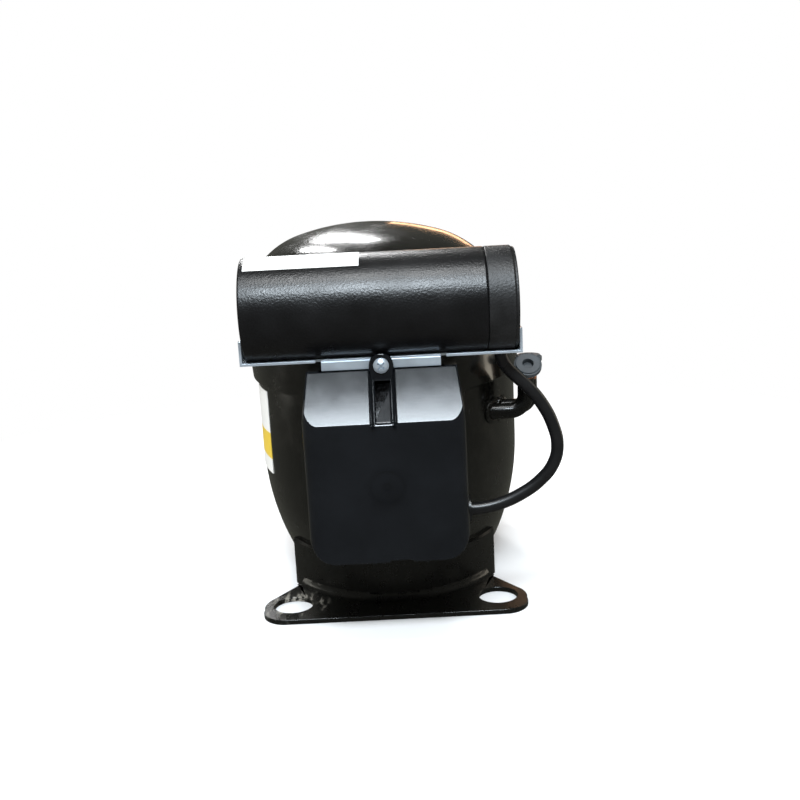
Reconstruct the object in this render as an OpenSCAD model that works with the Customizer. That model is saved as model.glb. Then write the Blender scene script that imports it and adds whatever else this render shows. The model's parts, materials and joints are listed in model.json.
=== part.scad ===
// Hermetic reciprocating compressor for a small refrigerator.
// +Z is up, the terminal cover faces -Y, and the origin is the centre of the
// mounting hole pattern on the underside of the feet. Millimetres.

/* [Shell] */
// Outer width of the lower shell
shell_w = 139.2; // [138.4:0.2:140]
// Outer depth of the lower shell
shell_d = 175.4; // [174:0.2:176]
// Height of the crown of the dome
shell_h = 184.3; // [183.5:0.1:186]
// Wall of the lower shell
lower_wall = 2.5; // [2.3:0.1:2.7]
// Wall of the upper shell
upper_wall = 2.3; // [2.1:0.1:2.4]
// Height of the lower rim of the upper shell
seam_z = 107; // [105:0.5:108]
// Sideways lean of the dome per unit of height
dome_lean = -0.085; // [-0.095:0.005:0]

/* [Feet] */
// Hole spacing across the front
hole_x = 101.6; // [101.6:0.1:102.4]
// Hole spacing from front to back
hole_y = 165.1; // [165.1:0.1:166]
// Radius of each mounting hole
hole_r = 9.5; // [8.5:0.1:9.7]
// Sheet thickness of the feet
foot_t = 2.5; // [2:0.1:3]
// Height of the curved apron behind each foot
apron_h = 24; // [22:0.5:26]

/* [Terminal cover] */
// Width of the cover
cover_w = 70.6; // [70:0.2:72]
// Forward reach of the cover's front face
cover_front = 138.5; // [138:0.1:140]
// Height of the cover's underside
cover_low = 44; // [43.5:0.1:45]
// Height of the crease between front face and slope
crease_z = 106.5; // [105:0.5:108]
// Wall of the cover
cover_wall = 2; // [1.8:0.1:2.2]

/* [Capacitor] */
// Radius of the capacitor case
can_r = 23; // [22.8:0.05:23]
// Length of the case and its end cap together
can_len = 118.6; // [118:0.1:119]
// Length of the end cap
cap_len = 13; // [12:0.1:13.5]
// Sheet thickness of the bracket
sheet_t = 1.2; // [1:0.05:1.3]

/* [Pump] */
// Half of the piston's stroke
crank_r = 8; // [7.6:0.1:8]
// Radius of the cylinder bore
bore_r = 12.7; // [12.5:0.05:12.8]
// Radius of the main shaft
shaft_r = 10; // [9.8:0.05:10]
// Radius of the crankpin
pin_r = 5.5; // [5.2:0.05:5.6]
// Radial running clearance of the bearings
run_gap = 0.04; // [0.03:0.005:0.06]

/* [Motor] */
// Width of the stator core
stator_w = 88; // [86:0.5:89]
// Depth of the stator core
stator_d = 92; // [90:0.5:93]
// Height of the lamination stack
stack_h = 46; // [44:0.5:46]
// Radius of the stator bore
stator_bore_r = 27; // [26.9:0.05:27.2]
// Number of stator slots
slots = 24; // [12:2:24]

/* [Hidden] */
$fn = 96;

steel_black = [0.03, 0.03, 0.03];
plastic_black = [0.07, 0.07, 0.07];
zinc = [0.72, 0.74, 0.76];
bright_steel = [0.62, 0.63, 0.65];
dark_steel = [0.3, 0.3, 0.32];
cast = [0.36, 0.36, 0.37];
copper = [0.72, 0.42, 0.28];
alu = [0.8, 0.8, 0.82];
label_white = [0.92, 0.92, 0.9];
rubber_grey = [0.3, 0.32, 0.34];
ivory = [0.85, 0.82, 0.72];

far = 400;

// Lower shell: a straight collar, a long flank arc and a tight bottom arc.
lower_top = 110.5;
flank_r = 131;
flank_z = 66;
bottom_z = 6;
corner_r = 14;
flank_x = shell_w / 2 - flank_r;
corner_z = bottom_z + corner_r;
corner_x = flank_x + sqrt(pow(flank_r - corner_r, 2) - pow(flank_z - corner_z, 2));

// Upper shell: a collar, a shoulder arc and a crown arc, leaning with height.
seam_gap = 0.3;
crown_r = 130;
shoulder_r = 48;
upper_w = shell_w + 2 * (upper_wall + seam_gap);
upper_d = shell_d + 2 * (upper_wall + seam_gap);
crown_z = shell_h - crown_r;
shoulder_x = upper_w / 2 - shoulder_r;
shoulder_z = crown_z + sqrt(pow(crown_r - shoulder_r, 2) - pow(shoulder_x, 2));

// Bracket, capacitor and cover screw.
can_y = -111;
plate_top = 132.8;
can_z = 154.2;
can_x0 = -58.8;
can_x1 = can_x0 + can_len;
case_x1 = can_x1 - cap_len;
case_wall = 1.6;
flap_y = -123;
flap_w = 52;
flap_low = 121;
window_half = sqrt(pow(can_r, 2) - pow(can_z - plate_top, 2));
screw_z = 129.8;
screw_r = 1.75;
boss_r = 5.3;
boss_front = 126.8;

// Terminals.
term_z = 82;
term_ring = 10;
cup_r = 16.5;
term_pin_r = 1.6;
relay_y0 = -127;
relay_y1 = -100;
cavity_y = -116.5;
cavity_r = 8.6;

// Service tubes and their plugs.
tube_r = 3.97;
tube_bore = 3.1;
plug_r = 6.75;

// Pump: crank axis, cylinder axis, and the levels of the stack.
crank_y = -12;
cyl_z = 138;
stack_z = 46;
stack_top = stack_z + stack_h;
deck_low = 110;
deck_top = 117;
web_z = 118.5;
web_top = 124;
crankpin_top = 145.5;
tube_in_r = 9.6;
tube_out_r = 12;
tube_half = 20;
bolt_x = 32;
bolt_y = 33;
cyl_face = 41;
cyl_back = 14;
gasket_t = 0.4;
reed_t = 0.3;
plate_t = 4;
head_bolt = 14.5;
valve_y = cyl_face + gasket_t + reed_t;
head_y = valve_y + plate_t + 0.8;
rotor_r = stator_bore_r - 0.4;
coil_r = 7.5;
wire_r = 0.9;
spring_low = 16;
spring_high = 40;
plug_hole = crank_r / 2;

// Capacitor lead: points along its centre line, from the end cap to the relay.
lead_r = 2.9;
lead_route = [
    [53, -111, 136], [53, -111, 131], [53.5, -111, 127], [55.5, -111, 123.5],
    [59, -111, 119.5], [65, -111, 113.5], [71, -111, 105.5], [75.5, -111, 96],
    [77.5, -111, 86], [75.5, -111, 77.5], [69.5, -111, 70], [60, -111, 63.5],
    [50, -111, 59.5], [42, -111, 58], [34, -111, 58], [21.05, -111, 58]
];

// --- Helpers -------------------------------------------------------------

// Oval prism with half-width a, half-depth b and height h.
module oval(a, b, h) {
    scale([1, b / a, 1]) cylinder(r = a, h = h);
}

// Cylinder along +Y from y0 to y1 at (x, z).
module rod_y(x, z, y0, y1, r) {
    translate([x, y0, z]) rotate([-90, 0, 0]) cylinder(r = r, h = y1 - y0);
}

// Cylinder along +X from x0 to x1 at (y, z).
module rod_x(y, z, x0, x1, r) {
    translate([x0, y, z]) rotate([0, 90, 0]) cylinder(r = r, h = x1 - x0);
}

// Box between two corners.
module block(lo, hi) {
    translate(lo) cube(hi - lo);
}

// Upright ring between two radii.
module ring(r_in, r_out, z0, z1) {
    translate([0, 0, z0]) difference() {
        cylinder(r = r_out, h = z1 - z0);
        translate([0, 0, -1]) cylinder(r = r_in, h = z1 - z0 + 2);
    }
}

// Children moved to the crank axis.
module at_crank() {
    translate([0, crank_y, 0]) children();
}

// Children repeated at the four stator bolts.
module at_bolts() {
    for (sx = [-1, 1])
        for (sy = [-1, 1])
            translate([sx * bolt_x, crank_y + sy * bolt_y, 0]) children();
}

// Tube swept along a route as one polyhedron.
function unit(v) = v / norm(v);
function tangent(p, i) = unit(p[min(i + 1, len(p) - 1)] - p[max(i - 1, 0)]);
function side(t, up) = unit(cross(t, up));
function sweep_ring(c, t, r, n, up) = [
    for (k = [0 : n - 1])
        let (u = side(t, up), w = cross(u, t), a = 360 * k / n)
            c + r * (cos(a) * u + sin(a) * w)
];
module swept(p, r, n, up) {
    m = len(p);
    points = [for (i = [0 : m - 1]) each sweep_ring(p[i], tangent(p, i), r, n, up)];
    walls = [
        for (i = [0 : m - 2])
            for (k = [0 : n - 1])
                [i * n + k, i * n + (k + 1) % n, (i + 1) * n + (k + 1) % n, (i + 1) * n + k]
    ];
    first = [for (k = [0 : n - 1]) n - 1 - k];
    last = [for (k = [0 : n - 1]) (m - 1) * n + k];
    polyhedron(points, concat(walls, [first, last]), convexity = 10);
}

// Section of the lower shell, moved in by inset; top is its upper end.
module lower_section(inset, top) {
    r = flank_r - inset;
    cut_z = flank_z + (corner_z - flank_z) * r / (flank_r - corner_r);
    union() {
        translate([0, flank_z]) square([shell_w / 2 - inset, top - flank_z]);
        intersection() {
            translate([flank_x, flank_z]) circle(r);
            translate([0, cut_z]) square([shell_w, flank_z - cut_z]);
        }
        translate([corner_x, corner_z]) circle(corner_r - inset);
        translate([0, bottom_z + inset]) square([corner_x, cut_z - bottom_z]);
    }
}

module lower_solid(inset, top) {
    scale([1, (shell_d / 2 - inset) / (shell_w / 2 - inset), 1])
        rotate_extrude() lower_section(inset, top);
}

// Section of the upper shell, moved in by inset; low is its lower end.
module upper_section(inset, low) {
    crown = crown_r - inset;
    join_x = shoulder_x * crown / (crown_r - shoulder_r);
    union() {
        translate([0, low]) square([upper_w / 2 - inset, shoulder_z - low]);
        intersection() {
            translate([shoulder_x, shoulder_z]) circle(shoulder_r - inset);
            translate([0, shoulder_z - 1]) square([upper_w, far]);
        }
        intersection() {
            translate([0, crown_z]) circle(crown);
            translate([0, shoulder_z - 1]) square([join_x, far]);
        }
    }
}

module upper_solid(inset, low) {
    multmatrix([[1, 0, dome_lean, -dome_lean * seam_z], [0, 1, 0, 0], [0, 0, 1, 0]])
        scale([1, (upper_d / 2 - inset) / (upper_w / 2 - inset), 1])
            for (a = [0 : 90 : 270]) rotate([0, 0, a])
                rotate_extrude(angle = 90) upper_section(inset, low);
}

// --- Shell and feet ------------------------------------------------------

module lower_shell() {
    color(steel_black) difference() {
        lower_solid(0, lower_top);
        lower_solid(lower_wall, lower_top + 1);
        rod_y(0, term_z, -shell_d, 0, cup_r);
        tube_holes();
    }
}

module upper_shell() {
    color(steel_black) difference() {
        upper_solid(0, seam_z);
        upper_solid(upper_wall, seam_z - 1);
    }
}

// Point where the tangent from point p touches a circle.
function touch(c, r, p, turn) =
    let (d = p - c, a = atan2(d[1], d[0]) + turn * acos(r / norm(d)))
        c + r * [cos(a), sin(a)];

foot_front = 100.5;
foot_neck = [49.5, -56];
foot_corner = [53, -88.5];
foot_corner_r = 12;
ear_r = 14.4;

module foot_half() {
    ear = [hole_x / 2, -hole_y / 2 - 0.8];
    union() {
        translate(foot_corner) circle(foot_corner_r);
        translate(ear) circle(ear_r);
        polygon([
            [0, -foot_front], [foot_corner[0], -foot_front], foot_corner,
            touch(ear, ear_r - 0.1, foot_neck, -1), foot_neck, [0, foot_neck[1]]
        ]);
    }
}

module foot() {
    apron_a = flank_x + sqrt(pow(flank_r, 2) - pow(flank_z - apron_h, 2)) + 0.02;
    apron_b = apron_a * shell_d / shell_w;
    apron_x = 52.5;
    difference() {
        union() {
            linear_extrude(foot_t) union() {
                foot_half();
                mirror([1, 0, 0]) foot_half();
            }
            intersection() {
                oval(apron_a + foot_t, apron_b + foot_t, apron_h);
                block([-apron_x, -far / 2, 0], [apron_x, -40, apron_h]);
            }
        }
        translate([0, 0, -1]) oval(apron_a, apron_b, apron_h + 2);
        for (s = [-1, 1])
            translate([s * hole_x / 2, -hole_y / 2, -1]) cylinder(r = hole_r, h = foot_t + 2);
    }
}

module front_foot() {
    color(steel_black) foot();
}

module rear_foot() {
    color(steel_black) mirror([0, 1, 0]) foot();
}

// Radius of a stud, and the highest shell floor under a stud at (x, y).
stud_r = 4.6;
floor_ratio = (shell_w / 2 - lower_wall) / (shell_d / 2 - lower_wall);
function floor_z(x, y) =
    let (
        q = max([for (a = [0 : 5 : 355])
            norm([x + stud_r * cos(a), (y + stud_r * sin(a)) * floor_ratio])]),
        r = corner_r - lower_wall
    )
        q < corner_x ? corner_z - r : corner_z - sqrt(pow(r, 2) - pow(q - corner_x, 2));

module spring_studs() {
    stud_top = 24;
    color(dark_steel) for (sx = [-1, 1]) for (sy = [-1, 1]) {
        y = crank_y + sy * bolt_y;
        foot_z = floor_z(bolt_x, y);
        translate([sx * bolt_x, y, foot_z]) cylinder(r = stud_r, h = stud_top - foot_z);
        translate([sx * bolt_x, y, spring_low - 1.5]) cylinder(r = 8, h = 1.5);
    }
}

module rating_label() {
    film = 0.25;
    a = shell_w / 2;
    color(label_white) intersection() {
        difference() {
            oval(a + film, shell_d / 2 + film, 104);
            translate([0, 0, -1]) oval(a, shell_d / 2, 110);
        }
        block([-far, -42, 59], [-30, 14, 103]);
    }
}

// --- Terminals and electrics --------------------------------------------

term_xz = [for (a = [90, 210, 330]) [term_ring * cos(a), term_z + term_ring * sin(a)]];
glass_r = 3;

module terminal_body() {
    color(dark_steel) difference() {
        rod_y(0, term_z, -91, -81, cup_r);
        rod_y(0, term_z, -89, -80, cup_r - 2);
        for (p = term_xz) rod_y(p[0], p[1], -92, -88, glass_r);
    }
}

module terminal_glass() {
    color(ivory) for (p = term_xz) difference() {
        rod_y(p[0], p[1], -91.5, -88.5, glass_r);
        rod_y(p[0], p[1], -92, -88, term_pin_r);
    }
}

module terminal_pins() {
    color(bright_steel) for (p = term_xz) rod_y(p[0], p[1], -106, -80, term_pin_r);
}

module terminal_fence() {
    half = 29;
    low = 48.5;
    high = 123;
    color(zinc) difference() {
        block([-half, -112, low], [half, -70, high]);
        block([-half + 1.5, -113, low + 1.5], [half - 1.5, -69, high - 1.5]);
        translate([0, 0, -1]) oval(shell_w / 2 + 0.1, shell_d / 2 + 0.1, seam_z + 0.5);
        translate([0, 0, seam_z - 1]) oval(upper_w / 2 + 0.6, upper_d / 2 + 0.2, 60);
        for (s = [-1, 1]) block([s * 22 - 4.6, -101.4, high - 3], [s * 22 + 4.6, -99.4, high + 1]);
        block([half - 3, -115.5, 54], [half + 1, -106.5, 62.5]);
    }
}

module lead_plug() {
    color(ivory) difference() {
        rod_y(0, term_z, -87, -77, 13.5);
        for (p = term_xz) rod_y(p[0], p[1], -88, -78, term_pin_r + 0.05);
        block([-20, -88, term_z - 20], [20, -76, term_z - 11]);
    }
}

module overload_protector() {
    z = 104.6;
    color(plastic_black) difference() {
        union() {
            rod_y(0, z, -116, -100, 15);
            rod_y(0, z, -118, -116, 12.5);
        }
        rod_y(0, term_xz[0][1], -107, -99, term_pin_r + 0.05);
    }
}

module relay_housing() {
    color(plastic_black) difference() {
        union() {
            block([-21, relay_y0, 52], [21, relay_y1, 88]);
            block([-17, relay_y0 - 1.2, 56], [17, relay_y0, 84]);
        }
        translate([0, cavity_y, 56]) cylinder(r = cavity_r, h = 28);
        for (i = [1, 2]) rod_y(term_xz[i][0], term_xz[i][1], -107, -99, term_pin_r + 0.05);
    }
}

module relay_coil() {
    color(copper) translate([0, cavity_y, 0]) ring(5.6, 8.4, 57, 72);
}

module relay_plunger() {
    color(dark_steel) translate([0, cavity_y, 0]) union() {
        translate([0, 0, 56.1]) cylinder(r = 5, h = 12);
        translate([0, 0, 68]) cylinder(r = 1.5, h = 6.5);
        translate([0, 0, 74.5]) cylinder(r = 7.6, h = 1.5);
    }
}

// Outer form of the terminal cover, moved in by inset.
module cover_form(inset) {
    half = cover_w / 2 - inset;
    front = -cover_front + inset;
    low = cover_low + inset;
    slope_y = -124;
    high = 127.9;
    slope = atan2(cover_front + slope_y, high - crease_z);
    drop = inset * (1 - sin(slope)) / cos(slope);
    crease = crease_z - inset * tan(slope / 2);
    bottom_r = 12 - inset;
    taper = 2.6;
    edge_r = 7 - inset;
    back = -70;
    intersection() {
        translate([-half, 0, 0]) rotate([90, 0, 90]) linear_extrude(2 * half) polygon([
            [back, low], [front, low], [front, crease],
            [slope_y + drop, high - inset], [back, high - inset]
        ]);
        translate([0, back, 0]) rotate([90, 0, 0]) linear_extrude(-back - front) union() {
            polygon([
                [-half, low + bottom_r], [half, low + bottom_r], [half, crease_z],
                [half - taper, high - inset], [taper - half, high - inset], [-half, crease_z]
            ]);
            translate([-half + bottom_r, low]) square([2 * (half - bottom_r), bottom_r + 1]);
            for (s = [-1, 1]) translate([s * (half - bottom_r), low + bottom_r]) circle(bottom_r);
        }
        linear_extrude(far) union() {
            translate([-half, front + edge_r]) square([2 * half, back - front - edge_r]);
            translate([-half + edge_r, front]) square([2 * (half - edge_r), back - front]);
            for (s = [-1, 1]) translate([s * (half - edge_r), front + edge_r]) circle(edge_r);
        }
    }
}

module cover_rib(x0, x1) {
    rib_top = screw_z - 3.6;
    translate([x0, 0, 0]) rotate([90, 0, 90]) linear_extrude(x1 - x0) polygon([
        [-boss_front, rib_top], [-cover_front - 0.6, crease_z + 1], [-cover_front - 0.6, crease_z - 2],
        [-cover_front + 1, crease_z - 3], [-124.6, 124], [-124.6, rib_top]
    ]);
}

// Shallow tapering groove down the slope, between the ribs.
module cover_groove(half) {
    translate([-half, 0, 0]) rotate([90, 0, 90]) linear_extrude(2 * half) polygon([
        [-cover_front - 3, crease_z + 0.4], [-cover_front + 0.35, crease_z + 0.4],
        [-127.2, 121.4], [-131, 121.4]
    ]);
}

module terminal_cover() {
    ring_z = 78.8;
    rib_w = 1.4;
    color(plastic_black) difference() {
        union() {
            difference() {
                cover_form(0);
                cover_form(cover_wall);
                block([-cover_w, -79, 0], [cover_w, -60, far]);
                block([-cover_w / 2 + cover_wall, -90, cover_low + cover_wall],
                    [cover_w / 2 - cover_wall, -60, 150]);
                translate([0, 0, -1]) oval(shell_w / 2 + 0.8, shell_d / 2 + 0.8, seam_z);
                translate([0, 0, seam_z - 2]) oval(upper_w / 2 + 1.4, upper_d / 2 + 0.8, 60);
                block([-29.5, -103, 120], [29.5, -70, 135]);
                block([-flap_w / 2 - 0.6, flap_y - 0.3, 120], [flap_w / 2 + 0.6, flap_y + 1.6, 135]);
            }
            rod_y(0, screw_z, -boss_front, flap_y - 0.3, boss_r);
            block([-boss_r, -boss_front, 122], [boss_r, flap_y - 0.3, screw_z]);
            cover_rib(-boss_r, rib_w - boss_r);
            cover_rib(boss_r - rib_w, boss_r);
            rod_y(0, ring_z, -cover_front - 0.4, -cover_front + 1, 8);
        }
        cover_groove(boss_r - rib_w - 0.25);
        rod_y(0, screw_z, -130, -120, screw_r + 0.15);
        rod_y(0, ring_z, -cover_front - 1, -cover_front + 0.2, 7.4);
        rod_y(0, ring_z, -cover_front - 1, -cover_front + 0.7, 1.7);
        block([0, -cover_front - 1, cover_low - 1], [9.6, -cover_front + 8, cover_low + 1]);
        rod_x(can_y, 58, 30, 40, 4.6);
    }
}

module cover_screw() {
    head_r = 3.4;
    head_h = 2.2;
    color(zinc) difference() {
        union() {
            rod_y(0, screw_z, -boss_front, -117, screw_r);
            intersection() {
                rod_y(0, screw_z, -boss_front - head_h, -boss_front, head_r);
                translate([0, -boss_front + 2.2, screw_z]) sphere(r = 4.4);
            }
        }
        for (a = [0, 90])
            translate([0, -boss_front - head_h - 1, screw_z]) rotate([0, a + 40, 0])
                translate([-1.9, 0, -0.4]) cube([3.8, 2.4, 0.8]);
    }
}

module cable_gland() {
    color(plastic_black) difference() {
        union() {
            rod_x(can_y, 58, 31.6, 37.2, 4.55);
            rod_x(can_y, 58, cover_w / 2, 37.2, 6);
            rod_x(can_y, 58, 31.6, cover_w / 2 - cover_wall - 0.9, 6);
        }
        rod_x(can_y, 58, 30, 40, lead_r + 0.1);
    }
}

// --- Capacitor and bracket ----------------------------------------------

module capacitor_bracket() {
    end0 = -61.2;
    end1 = 61.6;
    ear_top = 142.5;
    ear_back = -101;
    clip_in = can_r + 0.1;
    clip_out = clip_in + 1;
    low = plate_top - sheet_t;
    color(zinc) difference() {
        union() {
            block([end0, flap_y, low], [end1, -100, plate_top]);
            block([end0, flap_y, low], [end0 + sheet_t, ear_back, ear_top]);
            block([end1 - sheet_t, flap_y, low], [end1, ear_back, ear_top]);
            block([-flap_w / 2, flap_y, flap_low], [flap_w / 2, flap_y + sheet_t, plate_top - 1]);
            for (s = [-1, 1])
                block([s * 22 - 4, -101, 119], [s * 22 + 4, -101 + sheet_t, plate_top]);
            intersection() {
                rod_x(can_y, can_z, -24, 24, clip_out);
                block([-24, -104, 120], [24, -70, can_z + 12]);
            }
        }
        rod_x(can_y, can_z, -25, 25, clip_in);
        block([can_x0 - 0.5, can_y - window_half - 0.05, low - 1],
            [can_x1 + 0.4, can_y + window_half + 0.05, plate_top + 1]);
        for (s = [-1, 1]) block([s * (flap_w / 2 + 1.2) - 1.2, flap_y - 1, low - 1],
            [s * (flap_w / 2 + 1.2) + 1.2, flap_y + 2.4, plate_top + 1]);
        block([-flap_w / 2, flap_y - 1, plate_top - 1], [flap_w / 2, flap_y + 0.6, plate_top + 1]);
        rod_y(0, screw_z, flap_y - 1, flap_y + 2, screw_r + 0.05);
    }
}

module capacitor_case() {
    color(plastic_black) difference() {
        rod_x(can_y, can_z, can_x0, case_x1, can_r);
        rod_x(can_y, can_z, can_x0 + case_wall, case_x1 + 1, can_r - case_wall);
    }
}

module capacitor_element() {
    color(alu) rod_x(can_y, can_z, can_x0 + case_wall + 0.5, 36, can_r - case_wall - 0.5);
}

lid_x0 = 38;
lid_x1 = 41.5;
blade_z = 8;

module capacitor_lid() {
    color(plastic_black) difference() {
        rod_x(can_y, can_z, lid_x0, lid_x1, can_r - case_wall);
        for (s = [-1, 1]) rod_x(can_y, can_z + s * blade_z, lid_x0 - 1, lid_x1 + 1, 1.5);
    }
}

module capacitor_terminals() {
    color(bright_steel) for (s = [-1, 1]) translate([0, can_y, can_z + s * blade_z]) union() {
        rod_x(0, 0, 36, lid_x1 + 1, 1.5);
        block([lid_x1 + 0.5, -3.2, -0.4], [lid_x1 + 9, 3.2, 0.4]);
    }
}

module bleed_resistor() {
    color(ivory) translate([lid_x1 + 5, can_y - 6, can_z - 4]) union() {
        cylinder(r = 2.2, h = 8);
        translate([0, 0, -3]) cylinder(r = 0.4, h = 14);
    }
}

module capacitor_end_cap() {
    wall = 2;
    color(plastic_black) difference() {
        union() {
            rod_x(can_y, can_z, case_x1, can_x1 - 1.5, can_r);
            rod_x(can_y, can_z, can_x1 - 1.5, can_x1, can_r - 0.7);
        }
        rod_x(can_y, can_z, case_x1 - 1, can_x1 - wall, can_r - 1.6);
        translate([lead_route[0][0], can_y, 120]) cylinder(r = lead_r + 0.1, h = 20);
    }
}

module capacitor_label() {
    film = 0.15;
    span = 76;
    color(label_white) translate([can_x0 + 2.2, can_y, can_z]) rotate([0, 90, 0])
        rotate([0, 0, 180 - 40]) rotate_extrude(angle = span) translate([can_r, 0])
            square([film, 49.4]);
}

module capacitor_cable() {
    color(plastic_black) swept(lead_route, lead_r, 10, [0, 1, 0]);
}

// --- Service tubes -------------------------------------------------------

// Tube along +X out of the shell, turned up, then leant over by tip.
// dims holds the run, first bend, lean angle, second bend and stub length;
// over lengthens both ends.
module service_tube(dims, r, over) {
    run = dims[0];
    r1 = dims[1];
    tip = dims[2];
    r2 = dims[3];
    translate([-over, 0, 0]) rotate([0, 90, 0]) cylinder(r = r, h = run + over);
    translate([run, 0, r1]) rotate([90, 0, 0]) rotate([0, 0, -90])
        rotate_extrude(angle = 90) translate([r1, 0]) circle(r);
    if (tip > 0) translate([run + r1, -r2, r1]) rotate([90, 0, 90])
        rotate_extrude(angle = tip) translate([r2, 0]) circle(r);
    at_stub(dims) cylinder(r = r, h = dims[4] + over);
}

// Children moved to the start of the stub, with Z along it.
module at_stub(dims) {
    r2 = dims[3];
    tip = dims[2];
    translate([dims[0] + dims[1], -r2 + r2 * cos(tip), dims[1] + r2 * sin(tip)])
        rotate([tip, 0, 0]) children();
}

module tube_wall(dims) {
    difference() {
        service_tube(dims, tube_r, 0);
        service_tube(dims, tube_bore, 1);
    }
}

// Plug with a mushroom head and a stem that fits the bore.
module tube_plug(dims) {
    head_h = 4;
    seat = 0.05;
    color(rubber_grey) at_stub(dims) translate([0, 0, dims[4] + seat]) difference() {
        union() {
            translate([0, 0, -9]) cylinder(r = tube_bore - 0.05, h = 9.5);
            cylinder(r = plug_r - 0.8, h = head_h);
            translate([0, 0, 0.8]) cylinder(r = plug_r, h = head_h - 1.6);
        }
        translate([0, 0, 1]) cylinder(r = 2.6, h = head_h);
    }
}

suction_at = [46, -57, 90];
process_at = [50, -48, 90];
discharge_at = [44, 60, 84];
suction_dims = [16, 8, 43, 10, 12];
process_dims = [17, 6, 0, 6, 16.5];
discharge_dims = [16, 8, 30, 10, 16];

module suction_tube() {
    color(steel_black) translate(suction_at) tube_wall(suction_dims);
}

module process_tube() {
    color(copper) translate(process_at) tube_wall(process_dims);
}

module discharge_tube() {
    color(copper) translate(discharge_at) mirror([0, 1, 0]) tube_wall(discharge_dims);
}

module suction_plug() {
    translate(suction_at) tube_plug(suction_dims);
}

module process_plug() {
    translate(process_at) tube_plug(process_dims);
}

module discharge_plug() {
    translate(discharge_at) mirror([0, 1, 0]) tube_plug(discharge_dims);
}

module tube_holes() {
    for (p = [suction_at, process_at, discharge_at]) rod_x(p[1], p[2], 30, 100, tube_r);
}

// --- Pump unit -----------------------------------------------------------

module crankcase() {
    leg_r = 7;
    bar_w = 16;
    step = 0.6;
    reach = norm([bolt_x, bolt_y]);
    turn = atan2(bolt_y, bolt_x);
    color(cast) difference() {
        union() {
            at_crank() {
                translate([0, 0, 94]) cylinder(r = 15, h = deck_top - step - 94 - 3);
                translate([0, 0, deck_low - step]) cylinder(r = 24, h = deck_top - deck_low + step);
                for (i = [0, 1]) rotate([0, 0, i == 0 ? turn : -turn])
                    block([-reach, -bar_w / 2, deck_low + i * step / 2],
                        [reach, bar_w / 2, deck_top - (1 + i / 2) * step]);
            }
            at_bolts() translate([0, 0, stack_top]) cylinder(r = leg_r, h = deck_top - 3 * step - stack_top);
            block([-15, cyl_back, deck_low], [15, cyl_face, cyl_z]);
            rod_y(0, cyl_z, cyl_back, cyl_face, 19);
            block([-20, cyl_face - 13, cyl_z - 20], [20, cyl_face, cyl_z + 20]);
            block([-14, 0, deck_low + step], [14, cyl_back + 1, deck_top - 2 * step]);
        }
        at_crank() translate([0, 0, 90]) cylinder(r = shaft_r + run_gap, h = 40);
        rod_y(0, cyl_z, cyl_back - 1, cyl_face + 1, bore_r);
        at_bolts() translate([0, 0, stack_top - 1]) cylinder(r = 2.55, h = 21);
        for (sx = [-1, 1]) for (sz = [-1, 1])
            rod_y(sx * head_bolt, cyl_z + sz * head_bolt, cyl_face - 12, cyl_face + 1, 2.05);
    }
}

module stator_core() {
    color(dark_steel) difference() {
        at_crank() intersection() {
            block([-stator_w / 2, -stator_d / 2, stack_z], [stator_w / 2, stator_d / 2, stack_top]);
            translate([0, 0, stack_z]) cylinder(r = 57, h = stack_h);
        }
        at_crank() {
            translate([0, 0, stack_z - 1]) cylinder(r = stator_bore_r, h = stack_h + 2);
            for (i = [0 : slots - 1]) rotate([0, 0, 360 * (i + 0.5) / slots])
                block([30, -2, stack_z - 1], [38, 2, stack_top + 1]);
        }
        at_bolts() translate([0, 0, stack_z - 1]) cylinder(r = 2.55, h = stack_h + 2);
    }
}

module stator_windings() {
    color(copper) at_crank() union() {
        ring(29.2, 36.5, 29, stack_z - 1);
        ring(29.2, 36.5, stack_top + 1, 108);
        for (i = [0 : slots - 1]) rotate([0, 0, 360 * (i + 0.5) / slots])
            block([30.4, -1.7, stack_z - 2], [36.2, 1.7, stack_top + 2]);
    }
}

module stator_bolts() {
    color(zinc) at_bolts() union() {
        translate([0, 0, 42]) cylinder(r = 4.6, h = 4, $fn = 6);
        translate([0, 0, 45]) cylinder(r = 2.5, h = 65);
    }
}

module spring_caps() {
    color(plastic_black) at_bolts() difference() {
        union() {
            translate([0, 0, 33]) cylinder(r = 5.4, h = 8);
            translate([0, 0, spring_high]) cylinder(r = 8.4, h = 5.8);
        }
        translate([0, 0, 41.9]) cylinder(r = 4.75, h = 10);
    }
}

spring_turns = 5;
spring_steps = 12;

module coil_spring() {
    low = spring_low + wire_r + 0.05;
    high = spring_high - wire_r - 0.05;
    n = spring_turns * spring_steps;
    route = [
        for (i = [0 : n])
            let (a = 360 * i / spring_steps)
                [coil_r * cos(a), coil_r * sin(a), low + (high - low) * i / n]
    ];
    swept(route, wire_r, 6, [0, 0, 1]);
}

module mount_springs() {
    color(bright_steel) at_bolts() coil_spring();
}

module motor_leads() {
    color(ivory) for (s = [-1, 0, 1]) union() {
        rod_y(s * 5, 86, -76.9, -66, 1.2);
        translate([s * 5, -66, 86]) cylinder(r = 1.2, h = 20);
        rod_y(s * 5, 106, -66, -48.6, 1.2);
    }
}

module discharge_line() {
    r = 2;
    y = head_y + 5;
    low = 100;
    color(copper) union() {
        rod_x(discharge_at[1], discharge_at[2], 38, discharge_at[0], r);
        translate([38, discharge_at[1], discharge_at[2]]) sphere(r = r);
        translate([38, discharge_at[1], discharge_at[2]]) cylinder(r = r, h = low - discharge_at[2]);
        translate([38, discharge_at[1], low]) sphere(r = r);
        rod_y(38, low, y, discharge_at[1], r);
        translate([38, y, low]) sphere(r = r);
        rod_x(y, low, muffler_x, 38, r);
        translate([muffler_x, y, low]) sphere(r = r);
        translate([muffler_x, y, low]) cylinder(r = r, h = 118 - low);
    }
}

module thrust_washer() {
    color(bright_steel) at_crank() ring(shaft_r + 0.3, 14.5, deck_top, web_z - 0.1);
}

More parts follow.
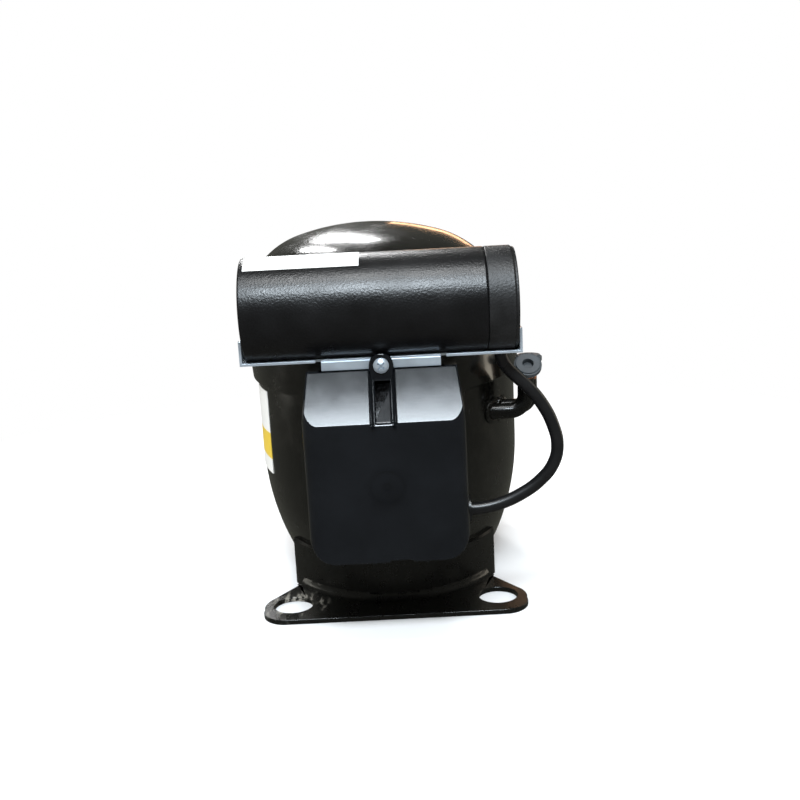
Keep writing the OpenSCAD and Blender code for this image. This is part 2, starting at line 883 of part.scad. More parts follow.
module bolt_holes_y(y0, y1, r) {
    for (sx = [-1, 1]) for (sz = [-1, 1])
        rod_y(sx * head_bolt, cyl_z + sz * head_bolt, y0, y1, r);
}

// Square plate across the cylinder between two levels.
module head_slab(half, y0, y1) {
    block([-half, y0, cyl_z - half], [half, y1, cyl_z + half]);
}

module cylinder_gasket() {
    color(dark_steel) difference() {
        head_slab(20, cyl_face, cyl_face + gasket_t);
        rod_y(0, cyl_z, cyl_face - 1, cyl_face + 2, bore_r + 0.5);
        bolt_holes_y(cyl_face - 1, cyl_face + 2, 2.05);
    }
}

// The reed's root is clamped at its lower end; its tip covers the port.
reed_hinge_z = cyl_z - 11;
suction_port = 6;

module suction_reed() {
    y0 = cyl_face + gasket_t;
    color(bright_steel) difference() {
        union() {
            block([-4.2, y0 + 0.02, reed_hinge_z], [4.2, y0 + reed_t - 0.02, cyl_z + suction_port]);
            rod_y(0, cyl_z + suction_port, y0 + 0.02, y0 + reed_t - 0.02, 5);
        }
        rod_y(0, cyl_z - suction_port, y0 - 1, y0 + 1, 2.6);
    }
}

module valve_plate() {
    color(bright_steel) difference() {
        union() {
            head_slab(20, valve_y, valve_y + plate_t);
            difference() {
                head_slab(20, cyl_face + gasket_t, valve_y);
                rod_y(0, cyl_z, cyl_face, valve_y + 0.1, bore_r + 0.5);
            }
        }
        rod_y(0, cyl_z + suction_port, cyl_face, head_y, 3);
        rod_y(0, cyl_z - suction_port, cyl_face, head_y, 2.2);
        bolt_holes_y(cyl_face - 1, head_y, 2.05);
        block([-5, valve_y + plate_t - 1.6, cyl_z - 13], [5, valve_y + plate_t + 1, cyl_z]);
    }
}

module discharge_reed() {
    y0 = valve_y + plate_t - 1.6;
    color(bright_steel) block([-3, y0 + 0.02, cyl_z - 12.5], [3, y0 + 0.3, cyl_z - 2.5]);
}

module reed_stop() {
    y0 = valve_y + plate_t - 0.5;
    color(dark_steel) block([-4.8, y0, cyl_z - 13], [4.8, y0 + 0.5, cyl_z]);
}

module head_gasket() {
    color(dark_steel) difference() {
        head_slab(20, valve_y + plate_t, head_y);
        block([-15, valve_y, cyl_z - 14.6 + 2.6], [15, head_y + 1, cyl_z + 12]);
        bolt_holes_y(valve_y, head_y + 1, 2.05);
    }
}

module cylinder_head() {
    head_t = 17;
    color(cast) difference() {
        head_slab(20, head_y, head_y + head_t);
        block([-11, head_y - 1, cyl_z - 12], [11, head_y + 10, cyl_z - 1]);
        block([-11, head_y - 1, cyl_z + 1], [11, head_y + 10, cyl_z + 12]);
        bolt_holes_y(head_y - 1, head_y + head_t + 1, 2.3);
        rod_x(head_y + 5, cyl_z + suction_port, 5, 30, 3);
        rod_x(head_y + 5, cyl_z - suction_port, -30, -5, 2.5);
    }
}

module head_bolts() {
    head_end = head_y + 17;
    color(zinc) for (sx = [-1, 1]) for (sz = [-1, 1])
        translate([sx * head_bolt, 0, cyl_z + sz * head_bolt]) union() {
            rod_y(0, 0, cyl_face - 11, head_end, 2);
            translate([0, head_end, 0]) rotate([-90, 0, 0]) cylinder(r = 4, h = 3, $fn = 6);
        }
}

module suction_muffler() {
    color(ivory) difference() {
        union() {
            block([20, 30, cyl_z - 10], [40, 56, cyl_z + 14]);
            block([28, 34, cyl_z + 14], [36, 42, cyl_z + 20]);
        }
        block([22, 32, cyl_z - 8], [38, 54, cyl_z + 12]);
        rod_x(head_y + 5, cyl_z + suction_port, 19, 24, 3);
        translate([32, 38, cyl_z]) cylinder(r = 2.6, h = 30);
    }
}

muffler_x = -33;

module discharge_muffler() {
    color(bright_steel) difference() {
        union() {
            translate([muffler_x, head_y + 5, 120]) cylinder(r = 11, h = 30);
            rod_x(head_y + 5, cyl_z - suction_port, muffler_x, -20, 3.5);
            translate([muffler_x, head_y + 5, 118]) cylinder(r = 8, h = 34);
        }
        translate([muffler_x, head_y + 5, 121.5]) cylinder(r = 9.5, h = 27);
        rod_x(head_y + 5, cyl_z - suction_port, -33, -19, 2.5);
    }
}

// --- Crank body and piston ----------------------------------------------

module crankshaft() {
    color(dark_steel) at_crank() difference() {
        union() {
            translate([0, 0, 38]) cylinder(r = shaft_r, h = web_z - 38);
            translate([0, 0, web_z]) cylinder(r = 14, h = web_top - web_z);
            translate([0, crank_r, web_z]) cylinder(r = 8, h = web_top - web_z);
            intersection() {
                translate([0, 0, web_z]) cylinder(r = 25, h = web_top - web_z);
                block([-20, -26, web_z], [20, 0, web_top]);
            }
            translate([0, crank_r, web_top - 1]) cylinder(r = pin_r, h = crankpin_top - web_top + 1);
        }
        translate([0, plug_hole, 44]) cylinder(r = 1.12, h = far);
        translate([0, 0, 37]) cylinder(r = 5, h = 9);
    }
}

module rotor_core() {
    color(dark_steel) at_crank() difference() {
        ring(shaft_r, rotor_r, stack_z, stack_top);
        for (i = [0 : 15]) rotate([0, 0, 22.5 * i])
            translate([rotor_r - 4, 0, stack_z - 1]) cylinder(r = 2, h = stack_h + 2);
    }
}

module rotor_cage() {
    color(alu) at_crank() union() {
        ring(17.5, rotor_r, stack_top, stack_top + 6);
        ring(17.5, rotor_r, stack_z - 6, stack_z);
        for (i = [0 : 15]) rotate([0, 0, 22.5 * i])
            translate([rotor_r - 4, 0, stack_z - 1]) cylinder(r = 2, h = stack_h + 2);
    }
}

module oil_pickup() {
    color(bright_steel) at_crank() difference() {
        union() {
            translate([0, 0, 38]) cylinder(r = 5, h = 8);
            translate([0, 0, 22]) cylinder(r = 6, h = 16);
            translate([0, 0, 15]) cylinder(r1 = 3, r2 = 6, h = 7);
        }
        translate([0, 0, 22]) cylinder(r = 4, h = 30);
        translate([0, 0, 14]) cylinder(r = 1.5, h = 10);
    }
}

module gallery_plug() {
    color(bright_steel) at_crank() translate([0, plug_hole, crankpin_top - 2.5])
        cylinder(r = 1.08, h = 2.5);
}

module slide_block() {
    color(bright_steel) at_crank() translate([0, crank_r, 0]) difference() {
        rod_x(0, cyl_z, -9.5, 9.5, tube_in_r - 0.05);
        translate([0, 0, cyl_z - 12]) cylinder(r = pin_r + run_gap, h = 24);
    }
}

module piston() {
    y = crank_y + crank_r;
    slot_x = crank_r + pin_r + 0.8;
    color(bright_steel) difference() {
        union() {
            rod_x(y, cyl_z, -tube_half, tube_half, tube_out_r);
            rod_y(0, cyl_z, y, cyl_back + 1, 8.5);
            rod_y(0, cyl_z, cyl_back, cyl_face - 0.4, bore_r - run_gap);
        }
        rod_x(y, cyl_z, -tube_half - 1, tube_half + 1, tube_in_r);
        block([-slot_x, y - pin_r - 0.6, cyl_z - tube_out_r - 1], [slot_x, y + pin_r + 0.6, cyl_z]);
        for (g = [5, 9]) difference() {
            rod_y(0, cyl_z, cyl_face - g - 1, cyl_face - g, bore_r + 1);
            rod_y(0, cyl_z, cyl_face - g - 2, cyl_face - g + 1, bore_r - 0.6);
        }
    }
}

lower_shell();
upper_shell();
front_foot();
rear_foot();
spring_studs();
rating_label();
terminal_body();
terminal_glass();
terminal_pins();
terminal_fence();
lead_plug();
overload_protector();
relay_housing();
relay_coil();
relay_plunger();
terminal_cover();
cover_screw();
cable_gland();
capacitor_bracket();
capacitor_case();
capacitor_element();
capacitor_lid();
capacitor_terminals();
bleed_resistor();
capacitor_end_cap();
capacitor_label();
capacitor_cable();
suction_tube();
process_tube();
discharge_tube();
suction_plug();
process_plug();
discharge_plug();
crankcase();
stator_core();
stator_windings();
stator_bolts();
spring_caps();
mount_springs();
motor_leads();
discharge_line();
thrust_washer();
cylinder_gasket();
suction_reed();
valve_plate();
discharge_reed();
reed_stop();
head_gasket();
cylinder_head();
head_bolts();
suction_muffler();
discharge_muffler();
crankshaft();
rotor_core();
rotor_cage();
oil_pickup();
gallery_plug();
slide_block();
piston();
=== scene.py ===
"""Looks for a hermetic reciprocating compressor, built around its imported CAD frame."""

import json
import math
import random

import bmesh
import bpy
from mathutils import Matrix, Quaternion, Vector, noise


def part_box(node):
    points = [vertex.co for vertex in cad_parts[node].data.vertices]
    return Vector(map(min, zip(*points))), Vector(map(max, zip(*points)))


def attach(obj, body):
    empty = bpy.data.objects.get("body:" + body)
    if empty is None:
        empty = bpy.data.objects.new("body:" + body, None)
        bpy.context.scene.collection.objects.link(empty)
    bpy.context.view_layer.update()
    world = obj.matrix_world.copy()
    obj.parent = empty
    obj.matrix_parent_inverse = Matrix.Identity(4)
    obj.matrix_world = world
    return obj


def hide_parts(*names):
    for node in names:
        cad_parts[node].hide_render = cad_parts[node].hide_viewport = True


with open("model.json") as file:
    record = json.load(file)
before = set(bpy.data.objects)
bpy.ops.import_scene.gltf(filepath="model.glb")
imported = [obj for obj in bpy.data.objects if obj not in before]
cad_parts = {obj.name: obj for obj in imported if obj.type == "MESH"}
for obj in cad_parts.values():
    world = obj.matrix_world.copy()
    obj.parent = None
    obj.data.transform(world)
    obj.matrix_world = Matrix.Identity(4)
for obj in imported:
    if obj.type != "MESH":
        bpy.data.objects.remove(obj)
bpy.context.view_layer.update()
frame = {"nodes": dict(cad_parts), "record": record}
nodes = frame["nodes"]
ROOT = "shell_assembly"
MM = 0.001
rng = random.Random(7)


# --- Camera ------------------------------------------------------------------

CAMERA_AT = Vector((0.00947, -0.5686, 0.2146))
YAW, PITCH, ROLL = math.radians(0.27), math.radians(-12.80), math.radians(-2.99)
LENS_MM = 47.1


def make_camera():
    forward = Vector((
        -math.sin(YAW) * math.cos(PITCH),
        math.cos(YAW) * math.cos(PITCH),
        math.sin(PITCH),
    ))
    right = Vector((math.cos(YAW), math.sin(YAW), 0))
    up = right.cross(forward)
    c, s = math.cos(ROLL), math.sin(ROLL)
    x_axis = right * c + up * s
    y_axis = up * c - right * s
    turn = Matrix((x_axis, y_axis, -forward)).transposed().to_4x4()
    data = bpy.data.cameras.new("camera")
    data.lens = LENS_MM
    data.sensor_width = 36
    data.clip_start = 0.01
    camera = bpy.data.objects.new("camera", data)
    camera.matrix_world = Matrix.Translation(CAMERA_AT) @ turn
    bpy.context.scene.collection.objects.link(camera)
    bpy.context.scene.camera = camera


make_camera()


# --- Materials ---------------------------------------------------------------

def new_material(name):
    material = bpy.data.materials.new(name)
    material.use_nodes = True
    tree = material.node_tree
    return material, tree, tree.nodes["Principled BSDF"]


def noise_of(tree, scale, detail=3.0, rough=0.55, stretch=(1, 1, 1)):
    """Noise over the object's own coordinates, whose scale is in cycles per metre."""
    coords = tree.nodes.new("ShaderNodeTexCoord")
    mapping = tree.nodes.new("ShaderNodeMapping")
    mapping.inputs["Scale"].default_value = stretch
    texture = tree.nodes.new("ShaderNodeTexNoise")
    texture.inputs["Scale"].default_value = scale
    texture.inputs["Detail"].default_value = detail
    texture.inputs["Roughness"].default_value = rough
    tree.links.new(coords.outputs["Object"], mapping.inputs["Vector"])
    tree.links.new(mapping.outputs["Vector"], texture.inputs["Vector"])
    return texture.outputs["Fac"]


def ranged(tree, value, low, high, start=0.3, stop=0.7):
    node = tree.nodes.new("ShaderNodeMapRange")
    node.inputs["From Min"].default_value = start
    node.inputs["From Max"].default_value = stop
    node.inputs["To Min"].default_value = low
    node.inputs["To Max"].default_value = high
    tree.links.new(value, node.inputs["Value"])
    return node.outputs["Result"]


def mixed(tree, factor, first, second):
    node = tree.nodes.new("ShaderNodeMix")
    node.data_type = "RGBA"
    for socket, value in (("A", first), ("B", second)):
        target = [s for s in node.inputs if s.name == socket and s.type == "RGBA"][0]
        if isinstance(value, tuple):
            target.default_value = (*value, 1)
        else:
            tree.links.new(value, target)
    factor_in = [s for s in node.inputs if s.name == "Factor" and s.type == "VALUE"][0]
    tree.links.new(factor, factor_in)
    return [s for s in node.outputs if s.type == "RGBA"][0]


def bump(tree, shader, layers):
    """Adds bump layers, each (height, distance in metres, strength)."""
    last = None
    for height, distance, strength in layers:
        node = tree.nodes.new("ShaderNodeBump")
        node.inputs["Distance"].default_value = distance
        node.inputs["Strength"].default_value = strength
        tree.links.new(height, node.inputs["Height"])
        if last is not None:
            tree.links.new(last, node.inputs["Normal"])
        last = node.outputs["Normal"]
    tree.links.new(last, shader.inputs["Normal"])


def surface(name, color, rough, metal=0.0, spread=0.15, patch=60, grain=900,
            depth=0.00002, strength=0.3, rough_spread=0.06, coat=0.0, stretch=(1, 1, 1)):
    material, tree, shader = new_material(name)
    broad = noise_of(tree, patch)
    fine = noise_of(tree, grain, 2.0, stretch=stretch)
    dark = tuple(c * (1 - spread) for c in color)
    light = tuple(min(1.0, c * (1 + spread)) for c in color)
    tree.links.new(mixed(tree, ranged(tree, broad, 0, 1), dark, light), shader.inputs["Base Color"])
    tree.links.new(ranged(tree, broad, rough - rough_spread, rough + rough_spread),
                   shader.inputs["Roughness"])
    shader.inputs["Metallic"].default_value = metal
    shader.inputs["Coat Weight"].default_value = coat
    shader.inputs["Coat Roughness"].default_value = 0.04
    bump(tree, shader, [(fine, depth, strength)])
    return material


def height_step(tree, level, soft=0.0003):
    """0 below a height in metres and 1 above it."""
    coords = tree.nodes.new("ShaderNodeTexCoord")
    split = tree.nodes.new("ShaderNodeSeparateXYZ")
    tree.links.new(coords.outputs["Object"], split.inputs["Vector"])
    return ranged(tree, split.outputs["Z"], 0, 1, level - soft, level + soft)


ENAMEL = (0.0035, 0.0035, 0.003)
COPPER = (0.62, 0.27, 0.15)
LEFT_HOLE = (-0.0508, -0.08255, 0.003)


def enamel():
    """Gloss black enamel over steel: a slight orange peel and thin dust."""
    material, tree, shader = new_material("enamel_black")
    dust = noise_of(tree, 70, 5.0, 0.65)
    peel = noise_of(tree, 420, 2.0)
    waves = noise_of(tree, 45, 1.0)
    tree.links.new(mixed(tree, ranged(tree, dust, 0, 1, 0.45, 0.85), ENAMEL, (0.009, 0.0085, 0.007)),
                   shader.inputs["Base Color"])
    tree.links.new(ranged(tree, dust, 0.14, 0.30), shader.inputs["Roughness"])
    shader.inputs["Coat Weight"].default_value = 0.5
    shader.inputs["Coat Roughness"].default_value = 0.08
    bump(tree, shader, [(peel, 0.00003, 0.25), (waves, 0.0004, 0.25)])
    return material


def near(tree, place, first, second):
    """1 at the first distance from a place, falling to 0 at the second; either may be larger."""
    coords = tree.nodes.new("ShaderNodeTexCoord")
    gap = tree.nodes.new("ShaderNodeVectorMath")
    gap.operation = "DISTANCE"
    gap.inputs[1].default_value = place
    tree.links.new(coords.outputs["Object"], gap.inputs[0])
    return ranged(tree, gap.outputs["Value"], 1, 0, first, second)


def worn_enamel():
    """The feet's enamel, rubbed in streaks around the front left mounting hole."""
    material, tree, shader = new_material("enamel_worn")
    streak = noise_of(tree, 260, 6.0, 0.7, (1.0, 0.35, 1.0))
    peel = noise_of(tree, 500, 2.0)
    rubbed = tree.nodes.new("ShaderNodeMath")
    rubbed.operation = "MULTIPLY"
    tree.links.new(ranged(tree, streak, 0, 1, 0.52, 0.58), rubbed.inputs[0])
    tree.links.new(near(tree, LEFT_HOLE, 9 * MM, 19 * MM), rubbed.inputs[1])
    worn = rubbed.outputs["Value"]
    tree.links.new(mixed(tree, worn, ENAMEL, (0.30, 0.28, 0.24)), shader.inputs["Base Color"])
    tree.links.new(ranged(tree, streak, 0.2, 0.45), shader.inputs["Roughness"])
    shader.inputs["Coat Weight"].default_value = 0.3
    shader.inputs["Coat Roughness"].default_value = 0.15
    bump(tree, shader, [(peel, 0.00003, 0.3)])
    return material


def painted_tube(top):
    """A tube painted with the shell up to a line, and bare copper above it."""
    material, tree, shader = new_material("tube_paint_line")
    bare = height_step(tree, top)
    stain = noise_of(tree, 300, 4.0)
    metal = mixed(tree, ranged(tree, stain, 0, 1), COPPER, (0.40, 0.17, 0.10))
    tree.links.new(mixed(tree, bare, ENAMEL, metal), shader.inputs["Base Color"])
    tree.links.new(bare, shader.inputs["Metallic"])
    tree.links.new(ranged(tree, stain, 0.2, 0.36), shader.inputs["Roughness"])
    bump(tree, shader, [(stain, 0.00005, 0.3)])
    return material


def side_label_film(low, high):
    """White film with one yellow band and no print."""
    material, tree, shader = new_material("side_label")
    span = high - low
    white, yellow = (0.80, 0.80, 0.77), (0.78, 0.55, 0.05)
    lower = mixed(tree, height_step(tree, low + span * 0.18), white, yellow)
    tree.links.new(mixed(tree, height_step(tree, low + span * 0.5), lower, white),
                   shader.inputs["Base Color"])
    wrinkle = noise_of(tree, 120, 3.0)
    tree.links.new(ranged(tree, wrinkle, 0.3, 0.45), shader.inputs["Roughness"])
    bump(tree, shader, [(wrinkle, 0.0001, 0.2)])
    return material


label_low, label_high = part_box("rating_label")

look = {
    "shell_paint": enamel(),
    "copper": surface("copper_bare", COPPER, 0.28, 1.0, 0.25, 140),
    "zinc_plate": surface("zinc_plate", (0.62, 0.70, 0.78), 0.34, 0.75, 0.16, 50, 700,
                          0.00004, 0.3, 0.08, 0.0, (0.15, 1, 1)),
    "bright_steel": surface("steel_ground", (0.60, 0.61, 0.63), 0.28, 1.0),
    "dark_steel": surface("steel_oiled", (0.20, 0.20, 0.21), 0.36, 1.0),
    "cast_iron": surface("iron_cast", (0.20, 0.20, 0.21), 0.6, 0.8, 0.2, 60, 600, 0.0002, 0.6),
    "cover_plastic": surface("plastic_cover", (0.0045, 0.0052, 0.0065), 0.15, 0.0, 0.2, 45, 1500,
                             0.00002, 0.2, 0.03),
    "bakelite": surface("phenolic_case", (0.0035, 0.0035, 0.004), 0.32, 0.0, 0.2, 60, 1100,
                        0.00018, 0.7, 0.05),
    "cable_jacket": surface("jacket_black", (0.006, 0.006, 0.0065), 0.30, 0.0, 0.2, 80, 700),
    "plug_rubber": surface("rubber_grey", (0.040, 0.048, 0.055), 0.5, 0.0, 0.2, 150, 900),
    "label_film": surface("film_white", (0.82, 0.82, 0.80), 0.34, 0.0, 0.03, 40, 400),
    "white_plastic": surface("plastic_ivory", (0.74, 0.72, 0.66), 0.42),
    "glass_seal": surface("glass_bead", (0.30, 0.36, 0.36), 0.15, 0.0, 0.1, 90, 500,
                          0.00001, 0.1, 0.03, 0.6),
    "aluminium": surface("aluminium_cast", (0.74, 0.74, 0.76), 0.34, 1.0),
    "gasket": surface("gasket_fibre", (0.07, 0.07, 0.075), 0.8, 0.0, 0.3, 200, 1200),
}
special = {
    "front_foot": worn_enamel(),
    "rating_label": side_label_film(label_low.z, label_high.z),
    "capacitor_end_cap": surface("phenolic_end_cap", (0.009, 0.009, 0.0095), 0.45, 0.0, 0.3, 90,
                                 900, 0.00022, 0.7, 0.05),
}
special["rear_foot"] = special["front_foot"]
BARE_END = 8 * MM
for tube in ("suction_tube", "process_tube", "discharge_tube"):
    special[tube] = painted_tube(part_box(tube)[1].z - BARE_END)
slot_of = {part["node"]: part["material_slot"] for part in frame["record"]["subparts"]}


def paint(obj, material):
    obj.data.materials.clear()
    obj.data.materials.append(material)


for name, obj in nodes.items():
    paint(obj, special.get(name, look[slot_of[name]]))


# --- Pieces built on the CAD nodes --------------------------------------------

def add_piece(name, mesh, material, slot):
    obj = bpy.data.objects.new(name, mesh)
    bpy.context.scene.collection.objects.link(obj)
    paint(obj, material)
    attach(obj, ROOT)
    return obj


def smooth_mesh(bm, name):
    mesh = bpy.data.meshes.new(name)
    bm.to_mesh(mesh)
    bm.free()
    for polygon in mesh.polygons:
        polygon.use_smooth = True
    return mesh


COVER_RING = Vector((0, -0.1385, 0.0788))
RING_REACH = 10 * MM
COVER_BACK = -100 * MM
FOOT_TOP = 8 * MM
FOOT_BEND = (1 * MM, 4 * MM)
WELD_GAP = 0.01 * MM
FLAT_ANGLE = math.radians(0.1)
HARD_ANGLE = math.radians(30)


def on_ring(node, edge):
    """The cover's fine moulded ring, whose steps are too small for the cover's own rounding."""
    return node == "terminal_cover" and all(
        (v.co - COVER_RING).length < RING_REACH for v in edge.verts)


def is_hidden(node, edge):
    """An edge against the shell: the top of a foot's apron, or the back of the cover."""
    if node == "terminal_cover":
        return any(v.co.y > COVER_BACK for v in edge.verts)
    return node.endswith("_foot") and any(v.co.z > FOOT_TOP for v in edge.verts)


def is_low_bend(edge):
    """An inner bend where a foot's apron rises from its plate."""
    low, high = FOOT_BEND
    return not edge.is_convex and all(low < v.co.z < high for v in edge.verts)


def softened(node, width, fillet=0.0):
    """Copy of a node's form with its hard edges rounded, standing for the node.
    With a fillet, the inner bends just above the floor get that larger width."""
    bm = bmesh.new()
    bm.from_mesh(nodes[node].data)
    bmesh.ops.remove_doubles(bm, verts=bm.verts, dist=WELD_GAP)
    bmesh.ops.dissolve_limit(bm, angle_limit=FLAT_ANGLE, verts=bm.verts, edges=bm.edges)
    full = max(width, fillet)
    weight = bm.edges.layers.float.new("bevel_weight_edge")
    for edge in bm.edges:
        if edge.calc_face_angle(0) < HARD_ANGLE:
            edge[weight] = 0
            edge.smooth = True
            continue
        if is_hidden(node, edge) or on_ring(node, edge):
            edge[weight] = 0
            edge.smooth = False
            continue
        edge[weight] = fillet / full if fillet and is_low_bend(edge) else width / full
    mesh = smooth_mesh(bm, node + "_soft")
    obj = add_piece(node + "_soft", mesh, special.get(node, look[slot_of[node]]), slot_of[node])
    bevel = obj.modifiers.new("edges", "BEVEL")
    bevel.width = full
    bevel.segments = 4
    bevel.limit_method = "WEIGHT"
    bevel.use_clamp_overlap = False
    normals = obj.modifiers.new("normals", "WEIGHTED_NORMAL")
    normals.weight = 100
    normals.keep_sharp = True
    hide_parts(node)
    return obj


EDGE_MM = {
    "terminal_cover": 0.8,
    "capacitor_case": 0.9,
    "capacitor_end_cap": 0.5,
    "front_foot": 0.4,
    "rear_foot": 0.4,
    "capacitor_bracket": 0.2,
    "suction_plug": 0.35,
    "process_plug": 0.35,
    "discharge_plug": 0.35,
}
FOOT_FILLET = 3.5 * MM

for node, width in EDGE_MM.items():
    piece = softened(node, width * MM, FOOT_FILLET if node.endswith("_foot") else 0)
    if node.endswith("_plug"):
        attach(piece, node)


# The capacitor's lead repeats the CAD route, in metres.
LEAD_MM = [
    (53, -111, 136), (53, -111, 131), (53.5, -111, 127), (55.5, -111, 123.5),
    (59, -111, 119.5), (65, -111, 113.5), (71, -111, 105.5), (75.5, -111, 96),
    (77.5, -111, 86), (75.5, -111, 77.5), (69.5, -111, 70), (60, -111, 63.5),
    (50, -111, 59.5), (42, -111, 58), (34, -111, 58), (21.05, -111, 58),
]
LEAD_D = 5.8 * MM


def make_lead():
    curve = bpy.data.curves.new("capacitor_lead", "CURVE")
    curve.dimensions = "3D"
    curve.bevel_depth = LEAD_D / 2
    curve.bevel_resolution = 6
    curve.use_fill_caps = True
    curve.resolution_u = 6
    spline = curve.splines.new("BEZIER")
    spline.bezier_points.add(len(LEAD_MM) - 1)
    for point, place in zip(spline.bezier_points, LEAD_MM):
        point.co = Vector(place) * MM
        point.handle_left_type = point.handle_right_type = "AUTO"
    lead = add_piece("capacitor_lead", curve, look["cable_jacket"], "cable_jacket")
    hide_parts("capacitor_cable")
    route = [Vector(p) * MM for p in LEAD_MM]
    length = sum((b - a).length for a, b in zip(route, route[1:]))
    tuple(route[0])


make_lead()


# --- Welds --------------------------------------------------------------------

def bead(name, path, radius, ripple, pitch, sides=10):
    """Closed weld bead along a path of (point, outward) pairs, with a rippled crown."""
    bm = bmesh.new()
    rings, travelled = [], 0.0
    count = len(path)
    for i, (point, outward) in enumerate(path):
        ahead, behind = path[(i + 1) % count][0], path[i - 1][0]
        along = (ahead - behind).normalized()
        travelled += (point - behind).length
        across = along.cross(outward).normalized()
        wave = 1 + ripple * math.sin(2 * math.pi * travelled / pitch)
        wave += 0.8 * ripple * noise.noise(point * 400)
        rings.append([
            bm.verts.new(point + radius * wave * (
                math.cos(2 * math.pi * k / sides) * outward
                + math.sin(2 * math.pi * k / sides) * across))
            for k in range(sides)
        ])
    for i in range(count):
        ring, following = rings[i], rings[(i + 1) % count]
        for k in range(sides):
            n = (k + 1) % sides
            bm.faces.new((ring[k], ring[n], following[n], following[k]))
    bmesh.ops.recalc_face_normals(bm, faces=bm.faces)
    return add_piece(name, smooth_mesh(bm, name), look["shell_paint"], "shell_paint")


def seam_weld():
    low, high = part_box("lower_shell")
    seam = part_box("upper_shell")[0].z
    a, b = (high.x - low.x) / 2, (high.y - low.y) / 2
    steps = 720
    path = []
    for i in range(steps):
        t = 2 * math.pi * i / steps
        outward = Vector((math.cos(t) / a, math.sin(t) / b, 0)).normalized()
        path.append((Vector((a * math.cos(t), b * math.sin(t), seam - 0.4 * MM)), outward))
    bead("seam_weld", path, 1.3 * MM, 0.07, 2.4 * MM, 8)


def shell_x(y):
    low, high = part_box("lower_shell")
    a, b = (high.x - low.x) / 2, (high.y - low.y) / 2
    return a * math.sqrt(1 - (y / b) ** 2)


def tube_weld(name, y, z):
    """Bead where a tube along +X leaves the oval shell, with a few spatter nubs."""
    tube, steps, path = 4.4 * MM, 72, []
    for i in range(steps):
        t = 2 * math.pi * i / steps
        outward = Vector((0, math.cos(t), math.sin(t)))
        point = Vector((0, y, z)) + tube * outward
        point.x = shell_x(point.y) + 0.2 * MM
        path.append((point, outward))
    bead(name, path, 1.5 * MM, 0.16, 2.1 * MM)
    for i in range(7):
        t = rng.uniform(0, 2 * math.pi)
        far = rng.uniform(6.2, 8.4) * MM
        spot = Vector((0, y + far * math.cos(t), z + far * math.sin(t)))
        spot.x = shell_x(spot.y)
        bm = bmesh.new()
        size = rng.uniform(0.35, 0.75) * MM
        bmesh.ops.create_icosphere(bm, subdivisions=2, radius=size)
        for vert in bm.verts:
            vert.co *= 1 + 0.25 * noise.noise(vert.co * 2500 + spot * 900)
            vert.co += spot
        nub = f"{name}_nub_{i}"
        add_piece(nub, smooth_mesh(bm, nub), look["shell_paint"], "shell_paint")


TUBE_RADIUS = 3.97 * MM

seam_weld()
for name in ("suction", "process", "discharge"):
    low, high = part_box(name + "_tube")
    y = (low.y + TUBE_RADIUS) if name == "discharge" else (high.y - TUBE_RADIUS)
    tube_weld(name + "_weld", y, low.z + TUBE_RADIUS)


# --- Stage and light ------------------------------------------------------------

PLAIN_FLOOR = 0.45
SHADED_FLOOR = 0.12


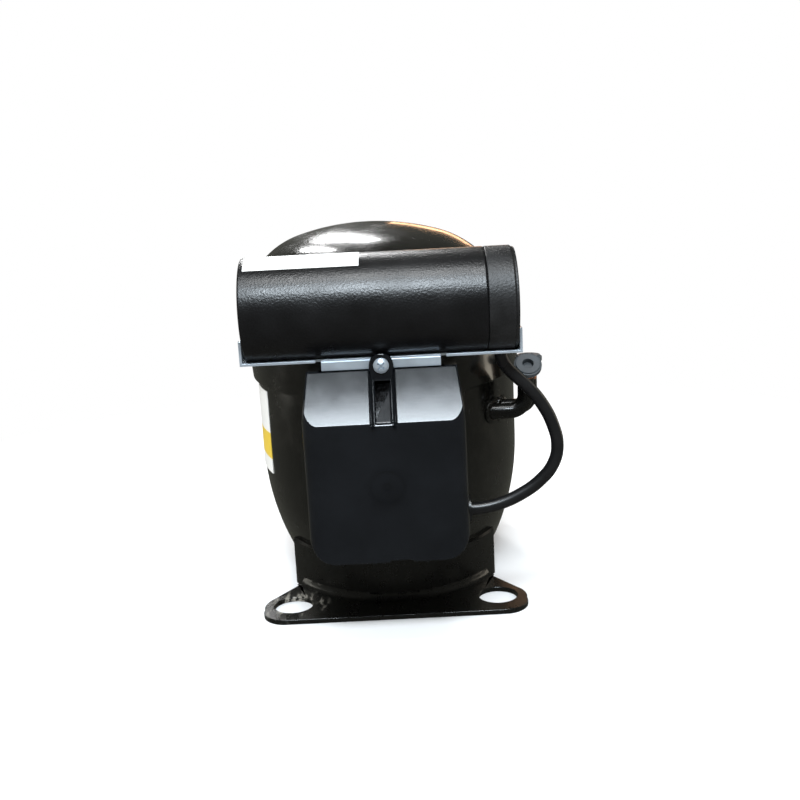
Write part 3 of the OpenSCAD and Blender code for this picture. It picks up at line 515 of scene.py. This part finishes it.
def make_stage():
    """A pale floor that takes shadows near the object and turns plain white further out."""
    bm = bmesh.new()
    bmesh.ops.create_grid(bm, x_segments=1, y_segments=1, size=6)
    mesh = bpy.data.meshes.new("floor")
    bm.to_mesh(mesh)
    bm.free()
    floor = bpy.data.objects.new("floor", mesh)
    bpy.context.scene.collection.objects.link(floor)
    material, tree, shader = new_material("floor_pale")
    shader.inputs["Base Color"].default_value = (0.86, 0.86, 0.86, 1)
    shader.inputs["Roughness"].default_value = 0.75
    glow = tree.nodes.new("ShaderNodeEmission")
    fade = tree.nodes.new("ShaderNodeMixShader")
    tree.links.new(near(tree, (0, 0, 0), PLAIN_FLOOR, SHADED_FLOOR), fade.inputs["Fac"])
    tree.links.new(shader.outputs["BSDF"], fade.inputs[1])
    tree.links.new(glow.outputs["Emission"], fade.inputs[2])
    tree.links.new(fade.outputs["Shader"], tree.nodes["Material Output"].inputs["Surface"])
    paint(floor, material)
    floor.visible_glossy = False


def area_light(name, place, target, size, power, color=(1, 1, 1), roll=0):
    data = bpy.data.lights.new(name, "AREA")
    data.shape = "RECTANGLE"
    data.size, data.size_y = size
    data.energy = power
    data.color = color
    light = bpy.data.objects.new(name, data)
    light.location = place
    facing = (Vector(target) - Vector(place)).to_track_quat("-Z", "Y")
    light.rotation_euler = (facing @ Quaternion((0, 0, 1), math.radians(roll))).to_euler()
    light.visible_camera = False
    bpy.context.scene.collection.objects.link(light)


ROOM_WHITE = (1.0, 1.0, 1.0)
ROOM_DARK = (0.085, 0.085, 0.072)


def make_light():
    """A white room that gloss sees as a dim one, with soft boxes for its highlights."""
    world = bpy.data.worlds.new("studio")
    world.use_nodes = True
    tree = world.node_tree
    path = tree.nodes.new("ShaderNodeLightPath")
    tree.links.new(mixed(tree, path.outputs["Is Glossy Ray"], ROOM_WHITE, ROOM_DARK),
                   tree.nodes["Background"].inputs["Color"])
    bpy.context.scene.world = world
    slope, case, dome = (0, -0.132, 0.116), (0.02, -0.13, 0.168), (-0.02, -0.05, 0.177)
    low_dome, side = (-0.028, -0.052, 0.175), (0, 0, 0.1)
    area_light("window", (0, -0.885, 0.977), slope, (0.50, 0.20), 14, (0.82, 0.92, 1))
    area_light("ceiling", (0.02, -0.50, 1.31), case, (0.55, 0.22), 7, (0.97, 0.99, 1))
    area_light("strip_far", (-0.124, 0.98, 0.80), dome, (0.36, 0.12), 4, roll=-49)
    area_light("strip_near", (-0.357, 0.806, 0.947), low_dome, (0.34, 0.06), 3, roll=-76)
    area_light("doorway", (0.17, 1.15, 0.33), (0.03, -0.01, 0.178), (0.30, 0.10), 0.5,
               (0.8, 0.45, 0.25))
    area_light("right_wall", (1.0, 0.3, 0.3), side, (0.25, 0.8), 1.5, (1, 0.90, 0.74))
    area_light("left_wall", (-1.0, 0.25, 0.3), side, (0.25, 0.8), 1.5, (1, 0.98, 0.88))


make_stage()
make_light()
bpy.context.scene.view_settings.view_transform = "Standard"
